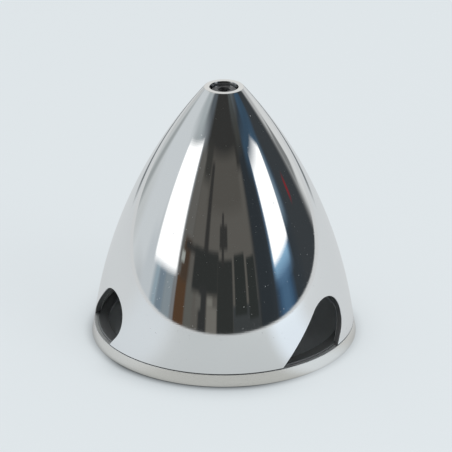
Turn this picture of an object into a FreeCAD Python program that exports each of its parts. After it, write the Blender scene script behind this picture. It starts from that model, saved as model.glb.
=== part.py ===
"""Three-blade propeller spinner for a model aircraft: a polished aluminium cone that sits on a turned
backplate, held by a bolt through its nose into an adapter nut on the crankshaft.

Millimetres, +Z from the flat rear face to the nose, the origin at the centre of the rear face. One blade
points along +Y and the others follow at equal angles. Turned sections are drawn as (radius, height).
"""
import FreeCAD, Part
import math
import os
import Sketcher

SIZES = {
    # the outside form
    "outer_diameter": 70.0,         # backplate across its rear edge
    "overall_height": 68.8,         # rear face to nose face
    "rim_taper": 0.65,              # how much the rim's radius narrows up to the seam with the cone
    "profile_radius": 128.5,        # circular arc of the cone's side
    "nose_diameter": 10.2,          # where the side meets the flat nose
    "nose_round": 0.3,
    "edge_break": 0.15,             # small chamfer on turned edges
    # backplate
    "rim_thickness": 3.2,
    "rim_band": 5.0,                # rear ring that the backplate stands on
    "rear_recess": 1.0,
    "web_thickness": 1.6,
    "hub_diameter": 28.0,
    "hub_thickness": 4.0,
    "crank_bore": 8.1,
    "lip_width": 2.8,
    "lip_height": 0.5,
    # cone
    "wall_thickness": 1.5,
    "skirt_thickness": 1.05,        # wall around the backplate's lip
    "register_clearance": 0.05,     # between lip and skirt, on the radius
    "register_relief": 0.2,         # room above the lip and above the pin
    "boss_length": 14.8,            # nose face to the underside of the solid nose
    # blade cutouts, seen from outside with the nose up
    "blade_count": 3,
    "cutout_height": 14.1,          # above the cone's seat
    "cutout_radius": 6.8,
    "cutout_offset": 3.9,           # centre of the round end, right of the blade's axis
    "left_lean": 44.5,              # degrees from upright, left side
    "right_lean": 39.0,             # degrees from upright, lower right side
    # index pin
    "pin_diameter": 2.0,
    "pin_length": 3.2,
    "pin_depth": 2.2,               # sunk in the backplate below the seat
    "pin_inset": 1.2,               # pin's axis inside the lip's edge
    "pin_clearance": 0.01,
    "notch_clearance": 0.1,
    # nose bolt, M4 cap screw
    "bolt_diameter": 4.0,
    "head_diameter": 7.0,
    "head_height": 4.0,
    "head_chamfer": 0.4,
    "head_recess": 0.8,             # head below the nose face
    "head_clearance": 0.22,
    "socket_flats": 3.0,
    "socket_depth": 2.0,
    "socket_point": 30.0,           # degrees, slope of the drilled end
    "hole_clearance": 0.15,
    "bolt_chamfer": 0.4,
    # lock washer
    "washer_thickness": 1.2,
    "washer_clearance": 0.05,
    "washer_gap": 0.5,
    # adapter nut
    "propeller_thickness": 16.0,    # room between hub and flange
    "flange_diameter": 18.0,
    "flange_thickness": 2.0,
    "nut_flats": 13.0,
    "nut_height": 8.0,
    "nut_bevel": 30.0,              # degrees, slope of the bevelled corners
    "neck_diameter": 9.0,
    "neck_length": 12.0,
    "neck_chamfer": 0.6,
    "crank_thread_bore": 6.8,
    "crank_thread_depth": 11.0,
    "thread_engagement": 8.0,
    "thread_clearance": 0.05,
}


class Size:
    """A length or angle that carries its number and the sheet expression that gives the same number."""

    def __init__(self, number, text):
        self.number = number
        self.text = text

    def __add__(self, other):
        return joined(self, "+", other, lambda a, b: a + b)

    def __sub__(self, other):
        return joined(self, "-", other, lambda a, b: a - b)

    def __mul__(self, other):
        return joined(self, "*", other, lambda a, b: a * b)

    def __truediv__(self, other):
        return joined(self, "/", other, lambda a, b: a / b)

    def __neg__(self):
        return Size(-self.number, f"(0 - {self.text})")


def as_size(value):
    """A bare number becomes a Size."""
    return value if isinstance(value, Size) else Size(float(value), repr(value))


def joined(left, sign, right, work):
    """Two sizes joined by an arithmetic sign."""
    left = as_size(left)
    right = as_size(right)
    return Size(work(left.number, right.number), f"({left.text} {sign} {right.text})")


def sine(angle):
    """Sine of an angle in degrees."""
    return Size(math.sin(math.radians(angle.number)), f"sin({angle.text})")


def cosine(angle):
    """Cosine of an angle in degrees."""
    return Size(math.cos(math.radians(angle.number)), f"cos({angle.text})")


def tangent(angle):
    """Tangent of an angle in degrees."""
    return Size(math.tan(math.radians(angle.number)), f"tan({angle.text})")


def root(value):
    """Square root."""
    return Size(math.sqrt(value.number), f"sqrt({value.text})")


def size_sheet(doc):
    """The spreadsheet of driving dimensions, and a Size for each of its cells."""
    sheet = doc.addObject("Spreadsheet::Sheet", "Sizes")
    found = {}
    for row, (name, number) in enumerate(SIZES.items(), start=1):
        sheet.set(f"A{row}", name)
        sheet.set(f"B{row}", str(number))
        sheet.setAlias(f"B{row}", name)
        found[name] = Size(float(number), f"Sizes.{name}")
    doc.recompute()
    return found


class Turned:
    """One PartDesign body of the spinner, on the common axis."""

    def __init__(self, doc, label, height=None):
        self.doc = doc
        self.body = doc.addObject("PartDesign::Body", label)
        self.body.Label = label
        self.body.Placement = FreeCAD.Placement()
        if height is not None:
            self.body.setExpression("Placement.Base.z", height.text)

    def origin(self, role):
        """One of the body's origin planes or axes."""
        return next(item for item in self.body.Origin.OriginFeatures if item.Role == role)

    def sketch(self, name, plane, height=None):
        """A sketch on an origin plane, raised by height along the plane's normal."""
        drawing = self.body.newObject("Sketcher::SketchObject", name)
        drawing.AttachmentSupport = (self.origin(plane), [""])
        drawing.MapMode = "FlatFace"
        if height is not None:
            drawing.setExpression("AttachmentOffset.Base.z", height.text)
        return drawing

    def outline(self, name, plane, corners, arcs=None, height=None):
        """A sketch of one closed outline. Each corner is an (across, up) pair of sizes. arcs maps an edge,
        by the number of its first corner, to its radius and turn: 1 counter-clockwise, -1 clockwise."""
        drawing = self.sketch(name, plane, height)
        corners = [(as_size(across), as_size(up)) for across, up in corners]
        points = [FreeCAD.Vector(across.number, up.number, 0) for across, up in corners]
        arcs = arcs or {}
        for edge, (start, end) in enumerate(zip(points, points[1:] + points[:1])):
            if edge in arcs:
                radius, turn = arcs[edge]
                drawing.addGeometry(arc_edge(start, end, radius.number, turn), False)
            else:
                drawing.addGeometry(Part.LineSegment(start, end), False)
        first = [2 if edge in arcs and arcs[edge][1] < 0 else 1 for edge in range(len(points))]
        for edge, point in enumerate(first):
            after = (edge + 1) % len(points)
            drawing.addConstraint(Sketcher.Constraint("Coincident", edge, 3 - point, after, first[after]))
            place(drawing, "DistanceX", edge, point, corners[edge][0], f"across{edge}")
            place(drawing, "DistanceY", edge, point, corners[edge][1], f"up{edge}")
        for edge, (radius, turn) in arcs.items():
            bind(drawing, Sketcher.Constraint("Radius", edge, radius.number), radius, f"radius{edge}")
        return drawing

    def circles(self, name, plane, radii, up=0, height=None):
        """A sketch of circles about one centre on the sketch's upright axis."""
        drawing = self.sketch(name, plane, height)
        centre = FreeCAD.Vector(0, as_size(up).number, 0)
        for item, radius in enumerate(radii):
            circle = Part.Circle(centre, FreeCAD.Vector(0, 0, 1), radius.number)
            drawing.addGeometry(circle, False)
            place(drawing, "DistanceX", item, 3, as_size(0), f"across{item}")
            place(drawing, "DistanceY", item, 3, as_size(up), f"up{item}")
            bind(drawing, Sketcher.Constraint("Radius", item, radius.number), radius, f"radius{item}")
        return drawing

    def revolve(self, kind, name, drawing):
        """A Revolution or Groove of a section about the common axis."""
        feature = self.body.newObject("PartDesign::" + kind, name)
        feature.Profile = drawing
        feature.ReferenceAxis = (drawing, ["V_Axis"])
        feature.Angle = 360.0
        drawing.Visibility = False
        return self.settled(feature)

    def extrude(self, kind, name, drawing, length, reverse=False):
        """A Pad or Pocket of a sketch."""
        feature = self.body.newObject("PartDesign::" + kind, name)
        feature.Profile = drawing
        feature.Type = "Length"
        feature.setExpression("Length", length.text)
        feature.Reversed = reverse
        drawing.Visibility = False
        return self.settled(feature)

    def repeat(self, name, feature, count):
        """A polar pattern of a feature about the common axis."""
        pattern = self.body.newObject("PartDesign::PolarPattern", name)
        pattern.Originals = [feature]
        pattern.Axis = (self.origin("Z_Axis"), [""])
        pattern.Angle = 360.0
        pattern.setExpression("Occurrences", count.text)
        self.body.Tip = pattern
        return self.settled(pattern)

    def settled(self, feature):
        """The recomputed feature, which has to have changed the body's volume."""
        before = feature.BaseFeature.Shape.Volume if feature.BaseFeature else 0.0
        self.doc.recompute()
        if abs(feature.Shape.Volume - before) < 1e-6:
            raise RuntimeError(f"{feature.Label} changes nothing")
        return feature


def place(drawing, kind, item, point, distance, name):
    """One coordinate of a point, measured from the sketch's origin."""
    constraint = Sketcher.Constraint(kind, -1, 1, item, point, distance.number)
    bind(drawing, constraint, distance, name)


def bind(drawing, constraint, distance, name):
    """Adds a named dimension that follows the sheet."""
    index = drawing.addConstraint(constraint)
    drawing.renameConstraint(index, name)
    drawing.setExpression(f"Constraints.{name}", distance.text)


def arc_edge(start, end, radius, turn):
    """The shorter arc from start to end: turn is 1 for counter-clockwise and -1 for clockwise."""
    chord = end - start
    reach = math.sqrt(radius ** 2 - (chord.Length / 2) ** 2)
    left = FreeCAD.Vector(-chord.y, chord.x, 0).normalize()
    centre = (start + end) / 2 + left * (turn * reach)
    angles = [math.atan2(point.y - centre.y, point.x - centre.x) for point in (start, end)]
    return Part.ArcOfCircle(Part.Circle(centre, FreeCAD.Vector(0, 0, 1), radius), *angles[::turn])


def hexagon(flats):
    """Six corners of a hexagon of that width across flats, the first on the +X axis."""
    reach = flats / cosine(as_size(30)) / 2
    return [(reach * cosine(as_size(60 * k)), reach * sine(as_size(60 * k))) for k in range(6)]


def circle_edge(feature, radius, height):
    """The name of the feature's circular edge of that radius at that height."""
    for number, edge in enumerate(feature.Shape.Edges, start=1):
        curve = edge.Curve
        if not isinstance(curve, Part.Circle):
            continue
        if abs(curve.Radius - radius.number) < 1e-3 and abs(curve.Center.z - height.number) < 1e-3:
            return f"Edge{number}"
    raise RuntimeError("no such circular edge")


class Layout:
    """Radii and heights that pieces share, all worked out from the sheet."""

    def __init__(self, size):
        self.size = size
        self.seat = size["rim_thickness"]
        self.cone_radius = size["outer_diameter"] / 2 - size["rim_taper"]
        self.register_radius = self.cone_radius - size["skirt_thickness"]
        self.register_top = self.seat + size["lip_height"] + size["register_relief"]
        self.lip_radius = self.register_radius - size["register_clearance"]
        self.lip_top = self.seat + size["lip_height"]
        self.pin_circle = self.lip_radius - size["pin_inset"]
        self.hub_top = size["hub_thickness"]
        self.nose = size["overall_height"]
        self.nose_radius = size["nose_diameter"] / 2
        self.boss_bottom = self.nose - size["boss_length"]
        self.head_seat = self.nose - size["head_recess"] - size["head_height"]
        self.washer_seat = self.head_seat - size["washer_thickness"]
        self.adapter_seat = self.hub_top + size["propeller_thickness"]
        self.nut_top = size["flange_thickness"] + size["nut_height"]
        self.neck_top = self.nut_top + size["neck_length"]
        self.bolt_length = self.head_seat - self.adapter_seat - self.neck_top + size["thread_engagement"]

    def side_radius(self, height, depth=0):
        """Radius of the cone's side at a height, or of the surface that lies that deep under the side.
        The arc runs from the seam to the nose, and its centre is off the middle of that chord."""
        across = self.cone_radius - self.nose_radius
        up = self.nose - self.seat
        chord = root(across * across + up * up)
        radius = self.size["profile_radius"]
        reach = root(radius * radius - chord * chord / 4)
        centre_across = (self.cone_radius + self.nose_radius) / 2 - reach * up / chord
        centre_up = (self.nose + self.seat) / 2 - reach * across / chord
        above = height - centre_up
        return centre_across + root((radius - depth) * (radius - depth) - above * above)


def make_backplate(doc, size, at):
    """Disc with a tapered rim, a ledge for the cone, a register lip and a hub, recessed on both faces."""
    edge = size["edge_break"]
    rim = size["outer_diameter"] / 2
    band = rim - size["rim_band"]
    bore = size["crank_bore"] / 2
    hub = size["hub_diameter"] / 2
    lip_inside = at.lip_radius - size["lip_width"]
    web_top = size["rear_recess"] + size["web_thickness"]
    section = [
        (bore + edge, 0), (hub, 0), (hub, size["rear_recess"]), (band, size["rear_recess"]), (band, 0),
        (rim - edge, 0), (rim, edge), (at.cone_radius, at.seat - edge), (at.cone_radius - edge, at.seat),
        (at.lip_radius, at.seat), (at.lip_radius, at.lip_top - edge), (at.lip_radius - edge, at.lip_top),
        (lip_inside, at.lip_top), (lip_inside, web_top), (hub, web_top), (hub, at.hub_top),
        (bore + edge, at.hub_top), (bore, at.hub_top - edge), (bore, edge),
    ]
    part = Turned(doc, "backplate")
    part.revolve("Revolution", "plate_turned", part.outline("plate_section", "XZ_Plane", section))
    pin_hole = size["pin_diameter"] / 2 + size["pin_clearance"]
    circle = part.circles("pin_hole_circle", "XY_Plane", [pin_hole], -at.pin_circle, at.lip_top)
    part.extrude("Pocket", "pin_hole", circle, size["lip_height"] + size["pin_depth"])
    return part.body


def make_cone(doc, size, at):
    """Thin-walled turned cone with a solid nose, a register bore at its foot and the blade cutouts."""
    edge = size["edge_break"]
    hole = size["bolt_diameter"] / 2 + size["hole_clearance"]
    counterbore = size["head_diameter"] / 2 + size["head_clearance"]
    wall = size["wall_thickness"]
    section = [
        (at.cone_radius - edge, at.seat), (at.side_radius(at.seat + edge), at.seat + edge),
        (at.nose_radius, at.nose), (counterbore + edge, at.nose), (counterbore, at.nose - edge),
        (counterbore, at.washer_seat), (hole, at.washer_seat), (hole, at.boss_bottom),
        (at.side_radius(at.boss_bottom, wall), at.boss_bottom),
        (at.side_radius(at.register_top, wall), at.register_top), (at.register_radius, at.register_top),
        (at.register_radius, at.seat + edge), (at.register_radius + edge, at.seat),
    ]
    sides = {1: (size["profile_radius"], 1), 8: (size["profile_radius"] - wall, -1)}
    part = Turned(doc, "spinner_cone")
    drawing = part.outline("cone_section", "XZ_Plane", section, sides)
    turned = part.revolve("Revolution", "cone_turned", drawing)
    rounding = part.body.newObject("PartDesign::Fillet", "nose_rounding")
    rounding.Base = (turned, [circle_edge(turned, at.nose_radius, at.nose)])
    rounding.setExpression("Radius", size["nose_round"].text)
    part.settled(rounding)
    notch = size["pin_diameter"] / 2 + size["notch_clearance"]
    circle = part.circles("pin_notch_circle", "XY_Plane", [notch], -at.pin_circle, at.seat)
    reach = size["pin_length"] - size["pin_depth"] + size["register_relief"]
    part.extrude("Pocket", "pin_notch", circle, reach, reverse=True)
    cutout = part.extrude("Pocket", "blade_cutout", cutout_outline(part, size, at), at.cone_radius)
    part.repeat("blade_cutouts", cutout, size["blade_count"])
    return part.body


def cutout_outline(part, size, at):
    """Outline of the cutout for the blade that points along +Y: two leaning sides, tangent to a round end
    and open below. It is drawn on the XZ plane, where outside-right is towards -X."""
    radius = size["cutout_radius"]
    across = -size["cutout_offset"]
    up = at.seat + size["cutout_height"] - radius
    left = (across + radius * cosine(size["left_lean"]), up + radius * sine(size["left_lean"]))
    right = (across - radius * cosine(size["right_lean"]), up - radius * sine(size["right_lean"]))
    corners = [
        (left[0] + left[1] * tangent(size["left_lean"]), 0), left, (across, up + radius), right,
        (right[0] + right[1] * tangent(size["right_lean"]), 0),
    ]
    return part.outline("cutout_outline", "XZ_Plane", corners, {1: (radius, 1), 2: (radius, 1)})


def make_index_pin(doc, size, at):
    """Dowel pin that keys the cone to the backplate."""
    radius = size["pin_diameter"] / 2
    edge = size["edge_break"]
    length = size["pin_length"]
    section = [
        (0, 0), (radius - edge, 0), (radius, edge), (radius, length - edge), (radius - edge, length),
        (0, length),
    ]
    part = Turned(doc, "index_pin", at.seat - size["pin_depth"])
    part.body.setExpression("Placement.Base.y", (-at.pin_circle).text)
    part.revolve("Revolution", "pin_turned", part.outline("pin_section", "XZ_Plane", section))
    return part.body


def make_nose_bolt(doc, size, at):
    """Socket head cap screw. Its own zero is the underside of the head."""
    shank = size["bolt_diameter"] / 2
    tip = size["bolt_chamfer"]
    head = size["head_diameter"] / 2
    bevel = size["head_chamfer"]
    top = size["head_height"]
    pit = size["socket_flats"] / 2
    floor = top - size["socket_depth"]
    section = [
        (0, -at.bolt_length), (shank - tip, -at.bolt_length), (shank, tip - at.bolt_length), (shank, 0),
        (head, 0), (head, top - bevel), (head - bevel, top), (pit, top), (pit, floor),
        (0, floor - pit * tangent(size["socket_point"])),
    ]
    part = Turned(doc, "nose_bolt", at.head_seat)
    part.revolve("Revolution", "bolt_turned", part.outline("bolt_section", "XZ_Plane", section))
    socket = part.outline("socket_hexagon", "XY_Plane", hexagon(size["socket_flats"]), height=top)
    part.extrude("Pocket", "hex_socket", socket, size["socket_depth"])
    return part.body


def make_lock_washer(doc, size, at):
    """Flattened spring washer with one split, between the bolt's head and the floor of its counterbore."""
    inside = size["bolt_diameter"] / 2 + size["washer_clearance"]
    outside = size["head_diameter"] / 2
    part = Turned(doc, "lock_washer", at.washer_seat)
    ring = part.circles("washer_circles", "XY_Plane", [inside, outside])
    part.extrude("Pad", "washer_ring", ring, size["washer_thickness"])
    half = size["washer_gap"] / 2
    split = part.outline("split", "XY_Plane", [(-half, 0), (half, 0), (half, outside), (-half, outside)])
    part.extrude("Pocket", "washer_split", split, size["washer_thickness"], reverse=True)
    return part.body


def make_adapter_nut(doc, size, at):
    """Flanged hexagon nut for the crankshaft with a long neck, threaded from above for the nose bolt."""
    edge = size["edge_break"]
    flange = size["flange_diameter"] / 2
    shoulder = size["flange_thickness"]
    neck = size["neck_diameter"] / 2
    bevel = size["neck_chamfer"]
    top = at.neck_top
    section = [
        (0, 0), (flange - edge, 0), (flange, edge), (flange, shoulder - edge), (flange - edge, shoulder),
        (neck, shoulder), (neck, top - bevel), (neck - bevel, top), (0, top),
    ]
    part = Turned(doc, "adapter_nut", at.adapter_seat)
    part.revolve("Revolution", "nut_turned", part.outline("nut_section", "XZ_Plane", section))
    wrench = part.outline("wrench_hexagon", "XY_Plane", hexagon(size["nut_flats"]), height=shoulder)
    part.extrude("Pad", "wrench_flats", wrench, size["nut_height"])
    part.revolve("Groove", "flats_bevel", bevel_section(part, size, at))
    crank = size["crank_thread_bore"] / 2
    bolt = size["bolt_diameter"] / 2 + size["thread_clearance"]
    deep = size["crank_thread_depth"]
    bores = [
        (0, 0), (crank + edge, 0), (crank, edge), (crank, deep), (bolt, deep), (bolt, top - edge),
        (bolt + edge, top), (0, top),
    ]
    part.revolve("Groove", "nut_bores", part.outline("bore_section", "XZ_Plane", bores))
    return part.body


def bevel_section(part, size, at):
    """Triangle that turns away the hexagon's top corners: it starts at the flats and reaches past them."""
    flat = size["nut_flats"] / 2
    corner = flat / cosine(as_size(30))
    drop = (corner - flat) * tangent(size["nut_bevel"])
    corners = [(flat, at.nut_top), (corner, at.nut_top - drop), (corner, at.nut_top)]
    return part.outline("bevel_section", "XZ_Plane", corners)


MAKERS = (
    make_backplate, make_cone, make_index_pin, make_nose_bolt, make_lock_washer, make_adapter_nut,
)


def main():
    """Builds the document, checks every object and writes one STEP file per piece."""
    doc = FreeCAD.newDocument("propeller_spinner")
    size = size_sheet(doc)
    at = Layout(size)
    pieces = [make(doc, size, at) for make in MAKERS]
    doc.recompute()
    for item in doc.Objects:
        if "Invalid" in item.State or "Error" in item.State:
            raise RuntimeError(f"{item.Label} failed: {item.State}")
    os.makedirs("parts", exist_ok=True)
    for piece in pieces:
        if piece.Shape.isNull() or not piece.Shape.isValid() or len(piece.Shape.Solids) != 1:
            raise RuntimeError(f"{piece.Label} isn't one valid solid")
        piece.Shape.exportStep(f"parts/{piece.Label}.step")
        print(f"{piece.Label}: {piece.Shape.Volume:.2f} mm3")


main()
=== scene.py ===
"""Looks of the three-blade propeller spinner: a mirror-polished aluminium cone on its turned backplate.

Lengths are metres in the row's frame: +Z towards the nose, +Y along one blade. A bearing is an angle about
+Z in radians, 0 towards -Y and growing towards +X, so a point is (r sin b, -r cos b, z).
"""
import math
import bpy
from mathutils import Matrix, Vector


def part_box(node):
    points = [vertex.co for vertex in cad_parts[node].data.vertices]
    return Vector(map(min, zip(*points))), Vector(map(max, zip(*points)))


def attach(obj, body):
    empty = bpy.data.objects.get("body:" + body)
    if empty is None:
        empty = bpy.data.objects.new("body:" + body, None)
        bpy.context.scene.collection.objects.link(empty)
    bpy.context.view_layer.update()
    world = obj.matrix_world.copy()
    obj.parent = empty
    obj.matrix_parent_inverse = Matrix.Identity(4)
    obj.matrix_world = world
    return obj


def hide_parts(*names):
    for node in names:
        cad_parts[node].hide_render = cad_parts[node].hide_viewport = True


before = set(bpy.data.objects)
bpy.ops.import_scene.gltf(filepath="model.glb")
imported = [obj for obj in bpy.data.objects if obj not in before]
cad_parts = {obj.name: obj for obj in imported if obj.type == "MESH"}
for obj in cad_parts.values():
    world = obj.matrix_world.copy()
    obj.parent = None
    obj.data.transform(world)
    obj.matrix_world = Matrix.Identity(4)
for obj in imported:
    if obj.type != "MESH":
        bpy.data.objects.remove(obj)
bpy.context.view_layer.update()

from types import SimpleNamespace

import bpy
import numpy as np
from mathutils import Vector

MM = 0.001
UP = np.array([0.0, 0.0, 1.0])

# ---- places read from the frame ---------------------------------------------------------------------------
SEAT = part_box("spinner_cone")[0].z          # seam between the cone and the rim
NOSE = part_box("spinner_cone")[1].z
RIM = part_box("backplate")[1].x
HUB_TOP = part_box("backplate")[1].z
WASHER_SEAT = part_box("lock_washer")[0].z
BOLT_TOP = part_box("nose_bolt")[1].z
PIN_CIRCLE = -(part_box("index_pin")[0].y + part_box("index_pin")[1].y) / 2
PIN_FOOT, PIN_TOP = (corner.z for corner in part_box("index_pin"))

# ---- sizes of the cone ------------------------------------------------------------------------------------
CONE_RADIUS = RIM - 0.65 * MM               # at the seam
NOSE_RADIUS = 5.1 * MM                      # the side's arc ends here, on the nose face
NOSE_CORNER = NOSE_RADIUS - 0.02 * MM       # corner of the nose face, under its rounding
NOSE_ROUND = 0.25 * MM
SIDE_TOP = NOSE - 0.22 * MM                 # the side stops here and the rounding takes over
PROFILE_RADIUS = 128.5 * MM
WALL = 1.5 * MM
EDGE = 0.15 * MM                            # rounding of turned edges
SHARP_EDGE = 0.05 * MM
FILLET = 0.2 * MM                           # in the backplate's inner corners
DEBURR = 0.1 * MM                           # softened edge of the blade cutouts
LIP_RADIUS = CONE_RADIUS - 1.1 * MM
LIP_TOP = SEAT + 0.5 * MM
REGISTER = LIP_RADIUS + 0.05 * MM           # bore that centres the cone on the lip
REGISTER_TOP = LIP_TOP + 0.2 * MM
BOSS_BOTTOM = NOSE - 14.8 * MM
COUNTERBORE = 3.72 * MM
BOLT_HOLE = 2.15 * MM
PIN_NOTCH = 1.1 * MM
PIN_NOTCH_TOP = PIN_TOP + 0.2 * MM
PIN_HOLE = 1.01 * MM

# ---- blade cutouts: a round end with a tangent side on either hand, open below ----------------------------
BLADE_STEP = 2 * math.pi / 3
BLADES = [math.radians(bearing) for bearing in (60, 180, 300)]
CUT_RADIUS = 6.8 * MM
CUT_OFFSET = 3.9 * MM                       # centre of the round end, right of the blade's axis
CUT_CENTRE = SEAT + 7.3 * MM
LEFT_LEAN = math.radians(44.5)
RIGHT_LEAN = math.radians(-39.0)

# ---- backplate --------------------------------------------------------------------------------------------
RECESS = 1.0 * MM
WEB_TOP = 2.6 * MM
HUB = 14.0 * MM
BAND = RIM - 5.0 * MM                       # ring that it stands on
LIP_WIDTH = 2.8 * MM
CRANK_BORE = 4.05 * MM

# ---- camera and studio ------------------------------------------------------------------------------------
CAMERA_BEARING = math.radians(12.0)
CAMERA_PLACE = (0.15897, -0.74790, 0.37246)
CAMERA_TURN = (math.radians(65.843), 0.0, math.radians(11.96))
LENS = 254.96
TABLE_RADIUS = 0.6


def paint(red, green, blue):
    """Linear colour, with full opacity, of three display values, of which 255 is white."""
    shown = np.array([red, green, blue]) / 255
    linear = np.where(shown <= 0.04045, shown / 12.92, ((shown + 0.055) / 1.055) ** 2.4)
    return (*linear.tolist(), 1.0)


# ---- surfaces ---------------------------------------------------------------------------------------------
class Surface:
    """Grids of points with their outward normals, welded into one closed mesh."""

    def __init__(self):
        self.points = []
        self.normals = []
        self.faces = []
        self.count = 0

    def add(self, points, normals, closed=False, keep=None):
        """Joins each row to the next, and the last column to the first when closed. keep, rows - 1 by
        columns, is False where a quad is left out."""
        normals = np.broadcast_to(normals, points.shape)
        rows, columns = points.shape[:2]
        row = np.arange(rows - 1)[:, None] * columns
        column = np.arange(columns if closed else columns - 1)[None, :]
        after = (column + 1) % columns
        ring = (row + column, row + after, row + columns + after, row + columns + column)
        faces = np.stack(np.broadcast_arrays(*ring), axis=-1).reshape(-1, 4)
        if keep is not None:
            faces = faces[keep.reshape(-1)]
        flat = points.reshape(-1, 3)
        diagonals = flat[faces[:, 2]] - flat[faces[:, 0]], flat[faces[:, 3]] - flat[faces[:, 1]]
        facing = (np.cross(*diagonals) * normals.reshape(-1, 3)[faces[:, 0]]).sum()
        self.points.append(flat)
        self.normals.append(normals.reshape(-1, 3))
        self.faces.append((faces if facing > 0 else faces[:, ::-1]) + self.count)
        self.count += len(flat)

    def turn(self, section, bearings, closed=True, keep=None):
        """Turns a section of points and normals, each (radius, height), about Z through the bearings."""
        self.add(turned(section[0], bearings), turned(section[1], bearings), closed, keep)

    def piece(self, name, slot, material, *nodes):
        """The finished object, standing for the named nodes. Points within a tenth of a micrometre are one,
        and a quad whose corners meet becomes a triangle."""
        points = np.concatenate(self.points)
        normals = np.concatenate(self.normals)
        faces = np.concatenate(self.faces)
        _, first, same = np.unique(np.round(points / 1e-7), axis=0, return_index=True, return_inverse=True)
        welded = same.reshape(-1)[faces]
        kept = welded != np.roll(welded, -1, axis=1)
        quads = kept.all(axis=1)
        triangles = kept.sum(axis=1) == 3
        corners = faces[quads].reshape(-1), faces[triangles][kept[triangles]]
        shapes = [same.reshape(-1)[corners[0]].reshape(-1, 4), same.reshape(-1)[corners[1]].reshape(-1, 3)]
        mesh = bpy.data.meshes.new(name)
        mesh.from_pydata(points[first].tolist(), [], shapes[0].tolist() + shapes[1].tolist())
        mesh.polygons.foreach_set("use_smooth", np.ones(len(mesh.polygons), bool))
        mesh.normals_split_custom_set(normals[np.concatenate(corners)].tolist())
        piece = bpy.data.objects.new(name, mesh)
        bpy.context.scene.collection.objects.link(piece)
        mesh.materials.append(material)
        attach(piece, "root")
        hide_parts(*nodes)
        return piece


def turned(section, bearings):
    """A section's rows (radius, height) at the bearings: (r sin b, -r cos b, z). The bearings may be one row
    for all, or a row for each of the section's."""
    radius, height, bearing = np.broadcast_arrays(section[:, :1], section[:, 1:], np.atleast_2d(bearings))
    return np.stack([radius * np.sin(bearing), -radius * np.cos(bearing), height], axis=-1)


def rounded(*corners, closed=False, steps=5):
    """Points and normals along a section through corners (radius, height, rounding), with the metal on its
    left. A rounding is an arc tangent to both sides; a corner without one is doubled, a normal for each
    side."""
    places = np.array(corners)[:, :2]
    ahead = np.roll(places, -1, axis=0) - places
    ahead /= np.linalg.norm(ahead, axis=1)[:, None]
    outward = np.stack([ahead[:, 1], -ahead[:, 0]], axis=1)
    points, normals = [], []
    for here, (before, after) in enumerate(zip(np.roll(outward, 1, axis=0), outward)):
        if not closed and here in (0, len(corners) - 1):
            points.append(places[here:here + 1])
            normals.append((after if here == 0 else before)[None])
            continue
        turn = math.atan2(before[0] * after[1] - before[1] * after[0], before @ after)
        radius = math.copysign(corners[here][2], turn)
        angle = np.linspace(0, turn, steps if radius else 2)[:, None]
        along = np.array([-before[1], before[0]])
        fan = before * np.cos(angle) + along * np.sin(angle)
        centre = places[here] - along * radius * math.tan(turn / 2) - before * radius
        points.append(centre + fan * radius)
        normals.append(fan)
    if closed:
        points.append(points[0][:1])
        normals.append(normals[0][:1])
    return np.concatenate(points), np.concatenate(normals)


# ---- cone -------------------------------------------------------------------------------------------------
def arc_centre():
    """Centre (radius, height) of the arc through the seam and the nose. It lies inwards from the middle of
    their chord, square to it, by sqrt(R^2 - (chord / 2)^2)."""
    across = CONE_RADIUS - NOSE_RADIUS
    rise = NOSE - SEAT
    chord = math.hypot(across, rise)
    reach = math.sqrt(PROFILE_RADIUS ** 2 - chord ** 2 / 4)
    return np.array([(CONE_RADIUS + NOSE_RADIUS) / 2 - reach * rise / chord,
                     (NOSE + SEAT) / 2 - reach * across / chord])


ARC_CENTRE = arc_centre()


def side(height, depth=0.0):
    """Points and normals of the side, a depth under its surface: r = r0 + sqrt(R^2 - (z - z0)^2)."""
    reach = PROFILE_RADIUS - depth
    height = np.atleast_1d(height)
    rise = (height - ARC_CENTRE[1]) / reach
    normals = np.stack([np.sqrt(1 - rise ** 2), rise], axis=1)
    return np.stack([ARC_CENTRE[0] + reach * normals[:, 0], height], axis=1), normals


PILLAR_COLUMNS = np.linspace(0, 1, 73)      # shares of the way from one cutout to the next
REGISTER_ROWS = 9                           # rows up to the top of the register bore
STRAIGHT_ROWS = 8                           # rows from there up to the cutouts' round ends
ROUND_ROWS = 64
SIDE_ROWS = 90                              # rows of the shell above the cutouts, outside and inside
INSIDE_ROWS = 70


def cut_rows(grow):
    """Heights from the seat to the top of a cutout widened by grow. On the round end they follow its angle,
    z = z0 + r sin(a), so that they gather towards the top."""
    radius = CUT_RADIUS + grow
    low = CUT_CENTRE + radius * math.sin(RIGHT_LEAN)
    return np.concatenate([
        [SEAT], np.linspace(SEAT + EDGE, REGISTER_TOP, REGISTER_ROWS - 1),
        np.linspace(REGISTER_TOP + 0.02 * MM, low, STRAIGHT_ROWS + 1)[:-1],
        CUT_CENTRE + radius * np.sin(np.linspace(RIGHT_LEAN, math.pi / 2, ROUND_ROWS)),
    ])


def cut_edge(height, hand, lean, grow=0.0):
    """Sideways place and normal of one edge of a cutout, hand -1 on the left and 1 on the right. On the round
    end s = s0 + hand r cos(a) with sin(a) = (z - z0) / r; below the angle lean it follows the tangent."""
    radius = CUT_RADIUS + grow
    rise = height - CUT_CENTRE
    angle = np.maximum(np.arcsin(np.clip(rise / radius, -1, 1)), lean)
    across = radius * np.cos(angle) - np.tan(angle) * (rise - radius * np.sin(angle))
    return CUT_OFFSET + hand * across, np.stack([-hand * np.cos(angle), -np.sin(angle)], axis=1)


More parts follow.
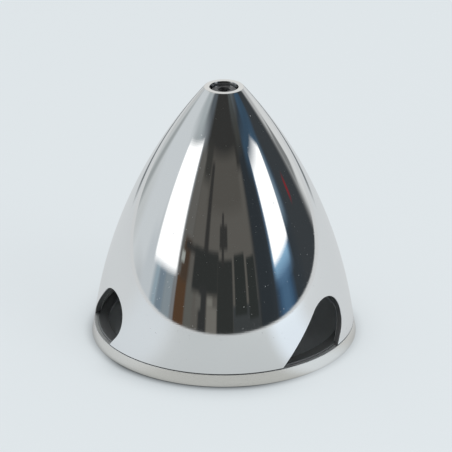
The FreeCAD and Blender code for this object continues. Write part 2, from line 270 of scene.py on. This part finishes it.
def cut_bearings(skin, blade, hand, lean, grow=0.0):
    """Bearing of one edge of a blade's cutout on each row of a skin. The edge is widened by grow above the
    seat, and a sideways place s lies at asin(s / r) from the blade."""
    place = cut_edge(skin[:, 1], hand, lean, grow)[0]
    place[0] = cut_edge(skin[:1, 1], hand, lean)[0][0]
    return blade + np.arcsin(np.clip(place / skin[:, 0], -1, 1))


def pillar_bearings(skin, blade, grow=0.0):
    """Bearings of the pillar after a blade, one row for each row of the skin: from the right edge of the
    blade's cutout to the left edge of the next one."""
    start = cut_bearings(skin, blade, 1, RIGHT_LEAN, grow)
    end = cut_bearings(skin, blade + BLADE_STEP, -1, LEFT_LEAN, grow)
    return start[:, None] + (end - start)[:, None] * PILLAR_COLUMNS


def cone_skins():
    """The rows (radius, height) of the pillars: the outer skin up to its softened edge, the crest of the cut
    faces just under it, and the inner skin, which follows the register bore at first."""
    outer, outer_normal = side(cut_rows(DEBURR))
    outer[0] = (CONE_RADIUS - EDGE, SEAT)
    outer_normal[0] = (0.0, -1.0)
    crest, _ = side(cut_rows(0.0), DEBURR)
    crest[0] = outer[0]
    inner, inner_normal = side(cut_rows(0.0), WALL)
    inner[:REGISTER_ROWS, 0] = REGISTER
    return SimpleNamespace(outer=outer, outer_normal=outer_normal, crest=crest, inner=inner,
                           inner_normal=inner_normal)


def notched(skin, bearings):
    """The inner skin at the bearings, moved out to the notch's circle round the index pin: where the pin's
    circle is c and the notch's radius n, r = c cos(b) + sqrt(n^2 - (c sin(b))^2)."""
    near = (bearings + math.pi) % (2 * math.pi) - math.pi
    reach = np.clip(PIN_NOTCH ** 2 - (PIN_CIRCLE * np.sin(near)) ** 2, 0, None)
    cut = (reach > 0) & (np.abs(near) < math.pi / 2) & (skin[:, 1:] < PIN_NOTCH_TOP)
    notch = np.where(cut, PIN_CIRCLE * np.cos(near) + np.sqrt(reach), 0.0)
    points = turned(skin, bearings)
    points[..., :2] *= (np.maximum(notch, skin[:, :1]) / skin[:, :1])[..., None]
    return points


def pillar(surface, skins, blade):
    """The pillar after a blade: outer skin, register bore, the step above it, inner skin and foot."""
    outside = pillar_bearings(skins.outer, blade, DEBURR)
    inside = pillar_bearings(skins.inner, blade)
    bore = notched(skins.inner, inside)
    surface.turn((skins.outer, skins.outer_normal), outside, closed=False)
    surface.add(bore[:REGISTER_ROWS], turned(np.array([[-1.0, 0.0]]), inside[:REGISTER_ROWS]))
    surface.add(bore[REGISTER_ROWS - 1:REGISTER_ROWS + 1], -UP)
    surface.add(bore[REGISTER_ROWS:], turned(-skins.inner_normal, inside)[REGISTER_ROWS:])
    surface.add(np.stack([turned(skins.outer, outside)[0], bore[0]]), -UP)


def cut_face(surface, skins, blade, hand, lean):
    """One face of a blade's cutout, straight along the blade's axis from the crest to the inner skin, and the
    softened edge between the crest and the outer skin. At a sideways place s and a radius r, a point lies
    sqrt(r^2 - s^2) along the axis."""
    along = np.array([math.sin(blade), -math.cos(blade), 0.0])
    across = np.array([math.cos(blade), math.sin(blade), 0.0])
    place, normal = cut_edge(skins.inner[:, 1], hand, lean)
    flat = normal[:, :1] * across + normal[:, 1:] * UP
    crest, inner = (place[:, None] * across + np.sqrt(skin[:, :1] ** 2 - place[:, None] ** 2) * along
                    + skin[:, 1:] * UP for skin in (skins.crest, skins.inner))
    surface.add(np.stack([crest, inner], axis=1), flat[:, None, :])
    bearings = cut_bearings(skins.outer, blade, hand, lean, DEBURR)[:, None]
    edge = turned(skins.outer, bearings)[:, 0]
    edge_normal = turned(skins.outer_normal, bearings)[:, 0]
    surface.add(np.stack([edge, crest], axis=1), np.stack([edge_normal, flat], axis=1))


def cone():
    """The cone: three pillars between the cutouts and, above them, one turned shell with a bored nose. The
    shell's columns start where the cutouts end, so that the two join point to point."""
    surface = Surface()
    skins = cone_skins()
    for blade in BLADES:
        pillar(surface, skins, blade)
        cut_face(surface, skins, blade, -1, LEFT_LEAN)
        cut_face(surface, skins, blade, 1, RIGHT_LEAN)

    def ring(start):
        return np.concatenate([blade + start + BLADE_STEP * PILLAR_COLUMNS[:-1] for blade in BLADES])

    outside = math.asin(CUT_OFFSET / skins.outer[-1, 0])
    within = math.asin(CUT_OFFSET / skins.inner[-1, 0])
    above = side(np.linspace(skins.outer[-1, 1], SIDE_TOP, SIDE_ROWS))
    surface.turn(above, ring(outside))
    roof = side(BOSS_BOTTOM, WALL)[0][0, 0]
    nose = rounded((*above[0][-1], 0), (NOSE_CORNER, NOSE, NOSE_ROUND), (COUNTERBORE, NOSE, EDGE),
                   (COUNTERBORE, WASHER_SEAT, 0), (BOLT_HOLE, WASHER_SEAT, 0), (BOLT_HOLE, BOSS_BOTTOM, 0),
                   (roof, BOSS_BOTTOM, 0))
    surface.turn(nose, ring(outside))
    lower, lower_normal = side(np.linspace(BOSS_BOTTOM, skins.inner[-1, 1], INSIDE_ROWS), WALL)
    starts = np.linspace(outside, within, INSIDE_ROWS)
    surface.turn((lower, -lower_normal), np.stack([ring(start) for start in starts]))
    return surface.piece("polished_cone", "polished_aluminium", polished_aluminium(), "spinner_cone")


# ---- backplate --------------------------------------------------------------------------------------------
def backplate():
    """The backplate, one closed section turned all the way round, with a blind hole for the index pin. The
    lip's top leaves out a few columns round the pin, which pin_hole fills."""
    lip_inside = LIP_RADIUS - LIP_WIDTH
    section = rounded(
        (CRANK_BORE, 0, EDGE), (HUB, 0, SHARP_EDGE), (HUB, RECESS, 0),
        (BAND, RECESS, 0), (BAND, 0, SHARP_EDGE), (RIM, 0, EDGE), (CONE_RADIUS, SEAT, EDGE),
        (LIP_RADIUS, SEAT, 0), (LIP_RADIUS, LIP_TOP, EDGE), (lip_inside, LIP_TOP, SHARP_EDGE),
        (lip_inside, WEB_TOP, FILLET), (HUB, WEB_TOP, FILLET), (HUB, HUB_TOP, SHARP_EDGE),
        (CRANK_BORE, HUB_TOP, EDGE), closed=True)
    columns, beside_pin = 240, 2
    bearings = (np.arange(columns) - beside_pin) * 2 * math.pi / columns
    flat = np.isclose(section[0][:, 1], LIP_TOP, atol=1e-9)
    wide = np.abs(np.diff(section[0][:, 0])) > MM
    top = np.flatnonzero(flat[:-1] & flat[1:] & wide)[0]
    keep = np.ones((len(section[0]) - 1, columns), bool)
    keep[top, :2 * beside_pin] = False
    surface = Surface()
    surface.turn(section, bearings, keep=keep)
    patch = turned(section[0][top:top + 2], bearings[:2 * beside_pin + 1])
    pin_hole(surface, np.concatenate([patch[0], patch[1, ::-1]]))
    return surface.piece("turned_backplate", "turned_aluminium", turned_aluminium(), "backplate")


def pin_hole(surface, loop, spokes=6):
    """Fills the loop of points round the index pin with a flat face, and sinks a hole in it. Each point of
    the loop has a few spokes to the hole's circle, spread evenly up to the next point's."""
    centre = np.array([0.0, -PIN_CIRCLE, 0.0])
    outward = loop - centre
    angle = np.unwrap(np.arctan2(outward[:, 1], outward[:, 0]))
    angle = np.append(angle, angle[0] + math.copysign(2 * math.pi, angle[1] - angle[0]))
    turns = np.interp(np.arange(len(loop) * spokes) / spokes, np.arange(len(loop) + 1), angle)
    circle = np.stack([np.cos(turns), np.sin(turns), 0 * turns], axis=1)
    rim = centre + circle * PIN_HOLE
    surface.add(np.stack([np.repeat(loop, spokes, axis=0), rim + UP * LIP_TOP]), UP, closed=True)
    surface.add(np.stack([rim + UP * LIP_TOP, rim + UP * PIN_FOOT]), -circle, closed=True)
    surface.add(np.stack([rim, np.broadcast_to(centre, rim.shape)]) + UP * PIN_FOOT, UP, closed=True)


# ---- shading ----------------------------------------------------------------------------------------------
class Value:
    """A socket that does sums: each operator adds a Math node."""

    def __init__(self, shading, socket):
        self.shading = shading
        self.socket = socket

    def math(self, operation, *others, clamp=False):
        settings = {"operation": operation, "use_clamp": clamp}
        return self.shading.add("ShaderNodeMath", settings, self, *others)

    def __add__(self, other):
        return self.math("ADD", other)

    def __sub__(self, other):
        return self.math("SUBTRACT", other)

    def __mul__(self, other):
        return self.math("MULTIPLY", other)

    def __truediv__(self, other):
        return self.math("DIVIDE", other)

    def __rsub__(self, other):
        return self * -1 + other

    __radd__ = __add__
    __rmul__ = __mul__

    def ramp(self, low, high):
        """0 at low, 1 at high and smooth between them."""
        return self.shading.add("ShaderNodeMapRange", {"interpolation_type": "SMOOTHSTEP"}, self, low, high)


class Shading:
    """The nodes of one material or world."""

    def __init__(self, owner):
        owner.use_nodes = True
        self.tree = owner.node_tree
        self.tree.nodes.clear()

    def add(self, kind, settings=None, *values, output=0, **named):
        """A node of that kind: settings first, then its sockets by place or by name. Returns one output."""
        node = self.tree.nodes.new(kind)
        for name, setting in (settings or {}).items():
            setattr(node, name, setting)
        sockets = [*zip(node.inputs, values)]
        sockets += [(node.inputs[name.replace("_", " ")], value) for name, value in named.items()]
        for socket, value in sockets:
            if isinstance(value, Value):
                self.tree.links.new(value.socket, socket)
            elif value is not None:
                socket.default_value = value
        return Value(self, node.outputs[output]) if node.outputs else node

    def link(self, value, node, name):
        self.tree.links.new(value.socket, node.inputs[name])

    def mix(self, factor, colour, other):
        """colour where factor is 0 and other where it is 1."""
        node = self.add("ShaderNodeMix", {"data_type": "RGBA"}, factor).socket.node
        for socket, value in ((node.inputs[6], colour), (node.inputs[7], other)):
            if isinstance(value, Value):
                self.tree.links.new(value.socket, socket)
            else:
                socket.default_value = value
        return Value(self, node.outputs[2])

    def coordinates(self, name="Object"):
        """A texture coordinate: the place itself and its parts x, y and z."""
        place = Value(self, self.add("ShaderNodeTexCoord").socket.node.outputs[name])
        parts = self.add("ShaderNodeSeparateXYZ", None, place).socket.node.outputs
        x, y, z = (Value(self, part) for part in parts)
        return SimpleNamespace(place=place, x=x, y=y, z=z)

    def from_camera(self, at):
        """How far a coordinate lies towards the camera and how far to its right, on the level."""
        sine, cosine = math.sin(CAMERA_BEARING), math.cos(CAMERA_BEARING)
        return at.x * sine - at.y * cosine, at.x * cosine + at.y * sine

    def rays(self, *kinds):
        """For each kind of ray, such as Camera or Glossy, 1 where the ray is of that kind."""
        outputs = self.add("ShaderNodeLightPath").socket.node.outputs
        return [Value(self, outputs[f"Is {kind} Ray"]) for kind in kinds]


def length(x, y):
    """sqrt(x^2 + y^2), such as the distance from the cone's axis."""
    return (x * x + y * y).math("SQRT")


def metal(name, colour, roughness):
    """A metal material, its shading and its shader."""
    material = bpy.data.materials.new(name)
    shading = Shading(material)
    shader = shading.add("ShaderNodeBsdfPrincipled", None, Base_Color=paint(*colour), Metallic=1.0,
                         Roughness=roughness)
    shading.add("ShaderNodeOutputMaterial", None, shader)
    return material, shading, shader.socket.node


BUMP_HEIGHT = 0.02 * MM


def turning_lines(shading, across, strength):
    """Fine rings left by the tool, from noise that changes across them and, far more slowly, along them. They
    count radius against height, so a flat face and an upright one both show them."""
    along = 60
    at = shading.coordinates()
    rings = (at.z - length(at.x, at.y)) * across
    place = shading.add("ShaderNodeCombineXYZ", None, at.x * along, at.y * along, rings)
    lines = shading.add("ShaderNodeTexNoise", None, place, Scale=1.0, Detail=3.0, Roughness=0.7)
    return shading.add("ShaderNodeBump", None, Strength=strength, Distance=BUMP_HEIGHT, Height=lines)


def dots(shading, place, cells, share, edge, core):
    """1 on a round dot inside a share of the noise cells, with so many cells to the metre. The dot's edge and
    core are parts of a cell."""
    node = shading.add("ShaderNodeTexVoronoi", {"feature": "F1"}, place, Scale=cells).socket.node
    distance, colour = (Value(shading, node.outputs[name]) for name in ("Distance", "Color"))
    chance = shading.add("ShaderNodeSeparateColor", None, colour)
    return distance.ramp(edge, core) * chance.ramp(1 - share, 1.005 - share)


def patches(shading, place):
    """Soft patches about a millimetre across."""
    noise = shading.add("ShaderNodeTexNoise", None, place, Scale=700.0, Detail=4.0, Roughness=0.6)
    return noise.ramp(0.35, 0.7)


def polished_aluminium():
    """Mirror polish over fine turning lines outside, with the odd speck and fine dust. Inside, below the
    solid nose, it is dull grey as machined, lighter towards the seat as painted light, and darker on the cut
    faces. A thin shadow marks the seam."""
    polish, roughness = paint(245, 246, 246), 0.03
    material, shading, shader = metal("polished_aluminium", (245, 246, 246), roughness)
    at = shading.coordinates()
    radius = length(at.x, at.y)
    from_arc = length(radius - float(ARC_CENTRE[0]), at.z - float(ARC_CENTRE[1]))
    depth = PROFILE_RADIUS - from_arc
    inside = depth.ramp(0.14 * MM, 0.3 * MM) * at.z.ramp(BOSS_BOTTOM + MM, BOSS_BOTTOM)
    inner_skin = depth.ramp(WALL - 0.06 * MM, WALL - 0.01 * MM)
    seam = at.z.ramp(SEAT + 0.26 * MM, SEAT + 0.2 * MM)
    # painted light: the inside's tone is a little lighter towards the seat
    machined_with_painted_light = shading.mix(at.z.ramp(SEAT + 16 * MM, SEAT), paint(228, 229, 227), paint(234, 235, 234))
    dull = shading.mix(inner_skin, paint(102, 103, 103), machined_with_painted_light)
    colour = shading.mix(inside, polish, dull)
    colour = shading.mix(seam * (1 - inside), colour, paint(46, 48, 50))
    specks = dots(shading, at.place, 620.0, 0.07, 0.13, 0.07)
    dust = dots(shading, at.place, 1500.0, 0.1, 0.22, 0.1)
    shading.link(colour, shader, "Base Color")
    shading.link(inside * 0.5 + specks * 0.4 + dust * 0.25 + roughness, shader, "Roughness")
    shading.link(1 - inside * 0.6, shader, "Metallic")
    shading.link(turning_lines(shading, 3200.0, 0.05), shader, "Normal")
    return material


def turned_aluminium():
    """Bright turned finish with a fine circular grain on the rim. The faces inside it are rougher and a
    little lighter, a little darker on the web, and much darker on the lip as painted shade."""
    rim, roughness = (233, 230, 224), 0.1
    material, shading, shader = metal("turned_aluminium", rim, roughness)
    at = shading.coordinates()
    radius = length(at.x, at.y)
    upper = at.z.ramp(SEAT - 0.16 * MM, SEAT - 0.06 * MM)
    face = upper.math("ADD", radius.ramp(CONE_RADIUS - 0.1 * MM, CONE_RADIUS - 0.3 * MM), clamp=True)
    # painted shade: the lip, inside the cone, is coloured much darker
    lip = radius.ramp(LIP_RADIUS + 0.25 * MM, LIP_RADIUS + 0.05 * MM) * at.z.ramp(SEAT - 0.05 * MM, SEAT)
    lip_inside = LIP_RADIUS - LIP_WIDTH
    web = radius.ramp(lip_inside + 0.3 * MM, lip_inside) * at.z.ramp(RECESS, WEB_TOP)
    tone = shading.mix(face, paint(*rim), paint(240, 241, 241))
    tone = shading.mix(web, tone, paint(220, 222, 224))
    # the lip's painted shade
    tone = shading.mix(lip, tone, paint(166, 167, 168))
    shading.link(tone, shader, "Base Color")
    shading.link(face * 0.5 + roughness, shader, "Roughness")
    shading.link(turning_lines(shading, 9000.0, 0.3), shader, "Normal")
    return material


def steel(name, colour, roughness):
    """Plain steel: patches of a slightly lighter and duller tone, and the fine grain of its making."""
    material, shading, shader = metal(name, colour, roughness)
    at = shading.coordinates()
    cloud = patches(shading, at.place)
    lighter = tuple(min(255, shade * 1.25) for shade in colour)
    grain = shading.add("ShaderNodeTexNoise", None, at.place, Scale=8400.0, Detail=2.0)
    bump = shading.add("ShaderNodeBump", None, Strength=0.25, Distance=BUMP_HEIGHT, Height=grain)
    shading.link(shading.mix(cloud, paint(*colour), paint(*lighter)), shader, "Base Color")
    shading.link(cloud * 0.18 + roughness, shader, "Roughness")
    shading.link(bump, shader, "Normal")
    return material


def bolt_steel():
    """Blackened steel, coloured lighter in the socket as painted light."""
    material, shading, shader = metal("bolt_steel", (104, 105, 107), 0.34)
    at = shading.coordinates()
    within = length(at.x, at.y).ramp(1.85 * MM, 1.7 * MM)
    # painted light: the deep hex socket is coloured lighter so that it reads less dark
    socket = within * at.z.ramp(BOLT_TOP - 0.01 * MM, BOLT_TOP - 0.12 * MM)
    cloud = patches(shading, at.place)
    black = shading.mix(cloud, paint(97, 98, 100), paint(116, 116, 118))
    shading.link(shading.mix(socket, black, paint(148, 149, 150)), shader, "Base Color")
    shading.link(cloud * 0.16 + socket * 0.35 + 0.3, shader, "Roughness")
    shading.link(turning_lines(shading, 14000.0, 0.12), shader, "Normal")
    return material


# ---- studio -----------------------------------------------------------------------------------------------
def band(left, right, low, high):
    """Corners of an upright rectangle of the studio."""
    return (left, low), (left, high), (right, high), (right, low)


# What polished metal sees of the studio: areas painted one over the other. Each has the softness of its
# edge, its corners (bearing, rise) walked clockwise, and its tone. Angles are degrees to the right, with the
# camera at 0, and degrees above the horizon. A tone above 255 is brighter than white.
STUDIO = [
    # dim studio in front, up past the zenith
    (16, band(-100, 121, -8, 96), (50, 50, 49)),
    # pale wall on the left and behind, with its shades
    (24, band(-190, -71, -8, 66), (195, 200, 203)),
    (20, band(-190, -84, 42, 90), (150, 153, 152)),
    (10, band(-190, -138, -8, 11), (184, 186, 186)),
    (10, band(-145, -112, -8, 8), (186, 190, 191)),
    (6, band(-136, -126, -8, 14), (152, 157, 158)),
    (10, band(-190, -140, 10, 90), (170, 171, 170)),
    (9, band(-190, -150, 14, 38), (212, 212, 210)),
    # round the left window: ceiling above it, sill and wall below it, its shaded frame
    (10, band(-96, -54, 34, 47), (160, 167, 170)),
    (12, band(-66, -42, 43, 60), (84, 90, 95)),
    (6, band(-88, -71.5, -8, 11), (184, 190, 194)),
    (5, band(-73, -66, -8, 10), (140, 156, 166)),
    (3, band(-67, -58.5, -8, 12), (112, 126, 137)),
    (3, band(-60, -50, -8, 12), (126, 136, 142)),
    (3, band(-51, -46, -8, 14), (116, 118, 120)),
    (10, band(-58, -44, 12, 43), (136, 142, 147)),
    (4, band(-49, -36, 10, 41), (92, 91, 88)),
    # brown door
    (1.5, band(-47.5, -36.5, -8, 10.5), (78, 59, 44)),
    (2, band(-45, -34, 9.5, 19.5), (67, 56, 47)),
    # warm grey middle, with its ceiling and a pale strip beside the door
    (3, band(-37, 33.5, -8, 38), (87, 85, 81)),
    (4, band(-25, 26, 29, 43), (79, 77, 73)),
    (4, band(-36, -24, 35, 44), (56, 56, 54)),
    (2, band(-37, -30, -8, 10), (88, 88, 84)),
    # bluish dark right side
    (6, band(33, 52, -8, 43), (44, 49, 53)),
    (10, band(50, 100, -8, 48), (50, 56, 61)),
    (10, band(66, 92, 16, 50), (60, 82, 102)),
    (10, band(84, 119, -8, 36), (55, 59, 62)),
    # ceiling on the right
    (6, band(32, 48, 42, 50), (62, 63, 61)),
    (8, band(28, 52, 50, 80), (72, 76, 76)),
    (8, band(46, 70, 50, 80), (88, 94, 98)),
    # pale wall behind on the right
    (6, band(124, 190, 12, 90), (168, 169, 170)),
    (9, band(150, 190, 14, 38), (212, 212, 210)),
    (2, band(122, 131, 4, 12), (122, 124, 124)),
    # blue light below and round the right window
    (6, band(53, 71, -8, 12), (56, 80, 104)),
    (5, band(57, 66.5, -8, 9), (69, 97, 123)),
    (6, band(53, 75, 8, 36), (98, 130, 160)),
    (4, band(53, 73, 9, 15), (136, 174, 202)),
    (5, band(74, 83, 15, 30), (106, 124, 138)),
    # dark stands and cupboards in the middle, and the pale gaps in and between them
    (2, band(-22.5, -17.5, -8, 40.5), (50, 50, 49)),
    (1.5, band(-43, -6, 17, 19), (50, 50, 49)),
    (2, band(-32, -6, 8.5, 19), (46, 48, 47)),
    (2, band(-24, -17, -8, 10), (49, 50, 50)),
    (1.5, band(-27, -22, 4.5, 8), (92, 91, 87)),
    (1.5, band(-16, -11, 5.5, 8), (112, 111, 105)),
    (1.2, band(-16, -7, -8, 5.5), (106, 104, 99)),
    (1.2, band(-6.5, 8.5, -8, 17.5), (46, 48, 47)),
    (1.5, band(-5, 4, 20, 26), (50, 50, 49)),
    (1, band(-2.5, 0, 16, 29), (50, 50, 49)),
    (1, band(8.5, 33.5, -8, 6), (58, 61, 62)),
    (1, band(10.5, 21.5, 3.5, 18.5), (44, 47, 46)),
    (1, band(23.5, 32, 2, 17), (45, 48, 47)),
    (1, band(-46.5, -42.5, 13.5, 16), (150, 154, 150)),
    # white windows on either side, and the blue shade at the right one's top
    (2.4, ((-77, 7.6), (-82.5, 31), (-51.5, 40.8), (-49.2, 10.2)), (275, 275, 275)),
    (1.8, ((53.6, 11), (53.3, 38), (68, 38), (80, 31), (76.5, 12)), (275, 275, 275)),
    (7, band(46, 92, 34.6, 44), (54, 73, 90)),
    # small red thing, far right
    (2, band(98, 101, 12, 16), (120, 40, 44)),
    # the table's edge, all round
    (0.5, band(-190, 190, -90, -1), (200, 202, 203)),
]


def inside(bearing, rise, soft, corners):
    """1 inside the corners and 0 outside them, with an edge so many degrees soft."""
    level = None
    for (b0, r0), (b1, r1) in zip(corners, corners[1:] + corners[:1]):
        span = math.hypot(b1 - b0, r1 - r0) * soft
        across, up = (r1 - r0) / span, -(b1 - b0) / span
        offset = 0.5 - (b0 * across + r0 * up)
        edge = (bearing * across).math("ADD", (rise * up) + offset, clamp=True)
        level = edge if level is None else level * edge
    return level


def studio_world():
    """Even soft light. Polished metal sees the studio instead, a little brighter than its tones, and the
    camera sees a plain pale backdrop."""
    world = bpy.data.worlds.new("studio")
    bpy.context.scene.world = world
    shading = Shading(world)
    at = shading.coordinates("Generated")
    toward, right = shading.from_camera(at)
    bearing = right.math("ARCTAN2", toward) * math.degrees(1)
    rise = at.z.math("ARCSINE") * math.degrees(1)
    seen = paint(206, 208, 208)
    for soft, corners, tone in STUDIO:
        seen = shading.mix(inside(bearing, rise, soft, corners), seen, paint(*tone))
    to_camera, glossy = shading.rays("Camera", "Glossy")
    light = shading.mix(glossy, paint(226, 229, 231), seen)
    light = shading.mix(to_camera, light, paint(224, 230, 233))
    background = shading.add("ShaderNodeBackground", None, light, 1.0 + glossy * 0.09)
    shading.add("ShaderNodeOutputWorld", None, background)


def table_top():
    """Plain pale round table."""
    rings = np.array([[0.0, 0.0], [0.2, 0.0], [TABLE_RADIUS, 0.0]])
    columns = 96
    points = turned(rings, np.linspace(0, 2 * math.pi, columns, endpoint=False)).reshape(-1, 3)
    row, column = np.arange(2)[:, None] * columns, np.arange(columns)[None, :]
    after = (column + 1) % columns
    corners = (row + column, row + columns + column, row + columns + after, row + after)
    faces = np.stack(np.broadcast_arrays(*corners), axis=-1).reshape(-1, 4)
    mesh = bpy.data.meshes.new("table_top")
    mesh.from_pydata(points.tolist(), [], faces.tolist())
    table = bpy.data.objects.new("table_top", mesh)
    bpy.context.scene.collection.objects.link(table)
    mesh.materials.append(table_finish())


def table_finish():
    """The table shows its own even tone, with a painted shadow close to what stands on it, weaker on the
    lamp's side. It takes a quarter of its light from the lamps, so that it keeps a soft shadow. Polished
    metal sees it
    in painted light and shade: painted shade in front, a painted blue glow at the right, lighter at the left,
    and a dark painted stretch far behind."""
    material = bpy.data.materials.new("pale_table")
    shading = Shading(material)
    pale = paint(227, 233, 236)
    at = shading.coordinates()
    distance = length(at.x, at.y) + 1e-6
    ahead, right = (share / distance for share in shading.from_camera(at))
    to_camera, glossy, through = shading.rays("Camera", "Glossy", "Transmission")

    # painted light and shade that only reflections see: shade in front, a blue glow at the right, lighter at
    # the left, a dark stretch far behind
    seen = shading.mix(ahead.ramp(0.45, 0.95), paint(207, 209, 210), paint(188, 191, 191))
    seen = shading.mix(right.ramp(0.55, 0.75) * ahead.ramp(0.15, 0.5), seen, paint(232, 241, 250))
    seen = shading.mix(right.ramp(-0.6, -0.85) * ahead.ramp(-0.1, 0.3), seen, paint(214, 219, 223))
    far = distance.ramp(0.28, 0.32) * distance.ramp(0.46, 0.42)
    seen = shading.mix(ahead.ramp(-0.7, -0.82) * far, seen, paint(40, 42, 42))
    lit = right.ramp(0.1, 0.75) + right.ramp(-0.72, -0.94) * 0.75

    def shaded(shown, reach, blocked, clear, relief, tone):
        """shown, darkened to the tone where much is blocked within reach; relief is how far lit undoes it."""
        level = shading.add("ShaderNodeAmbientOcclusion", {"samples": 16}, None, reach, output=1)
        level = level.ramp(blocked, clear)
        return shading.mix(level + (1 - level) * lit * relief, paint(*tone), shown)

    shown = shading.mix(glossy, pale, seen)
    shown = shaded(shown, 12 * MM, 0.2, 1.0, 0.8, (84, 92, 98))
    shown = shaded(shown, 3.6 * MM, 0.5, 0.98, 0.75, (8, 10, 12))
    tone = shading.add("ShaderNodeEmission", None, shown, 1.0)
    matt = shading.add("ShaderNodeBsdfDiffuse", None, pale)
    share = to_camera.math("ADD", glossy + through, clamp=True) * 0.75
    blend = shading.add("ShaderNodeMixShader", None, share, matt, tone)
    shading.add("ShaderNodeOutputMaterial", None, blend)
    return material


def lamp(name, bearing, rise, distance, size, watts):
    """Soft square lamp aimed at the object, its bearing and rise in degrees as the studio's are."""
    data = bpy.data.lights.new(name, "AREA")
    data.size = size
    data.energy = watts
    light = bpy.data.objects.new(name, data)
    bpy.context.scene.collection.objects.link(light)
    bearing, rise = CAMERA_BEARING + math.radians(bearing), math.radians(rise)
    back = Vector((math.sin(bearing) * math.cos(rise), -math.cos(bearing) * math.cos(rise), math.sin(rise)))
    light.location = back * distance
    light.rotation_euler = back.to_track_quat("Z", "Y").to_euler()
    light.visible_glossy = False
    light.visible_camera = False


def camera():
    """Long lens in front, a little to the right, looking down by about 24 degrees."""
    data = bpy.data.cameras.new("camera")
    data.lens = LENS
    data.sensor_width = 36.0
    data.clip_start, data.clip_end = 0.01, 20.0
    view = bpy.data.objects.new("camera", data)
    view.location = CAMERA_PLACE
    view.rotation_euler = CAMERA_TURN
    bpy.context.scene.collection.objects.link(view)
    bpy.context.scene.camera = view


def dress(node, material):
    """Gives every slot of a node from the frame the one material."""
    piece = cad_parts[node]
    for slot in piece.material_slots:
        slot.material = material


def main():
    cone()
    backplate()
    dress("nose_bolt", bolt_steel())
    dress("lock_washer", steel("spring_steel", (150, 150, 152), 0.3))
    dress("index_pin", steel("pin_steel", (180, 180, 181), 0.2))
    dress("adapter_nut", steel("nut_steel", (170, 170, 170), 0.25))
    table_top()
    studio_world()
    lamp("key", bearing=55, rise=35, distance=0.9, size=0.45, watts=2.0)
    camera()
    bpy.context.scene.view_settings.view_transform = "Standard"


main()
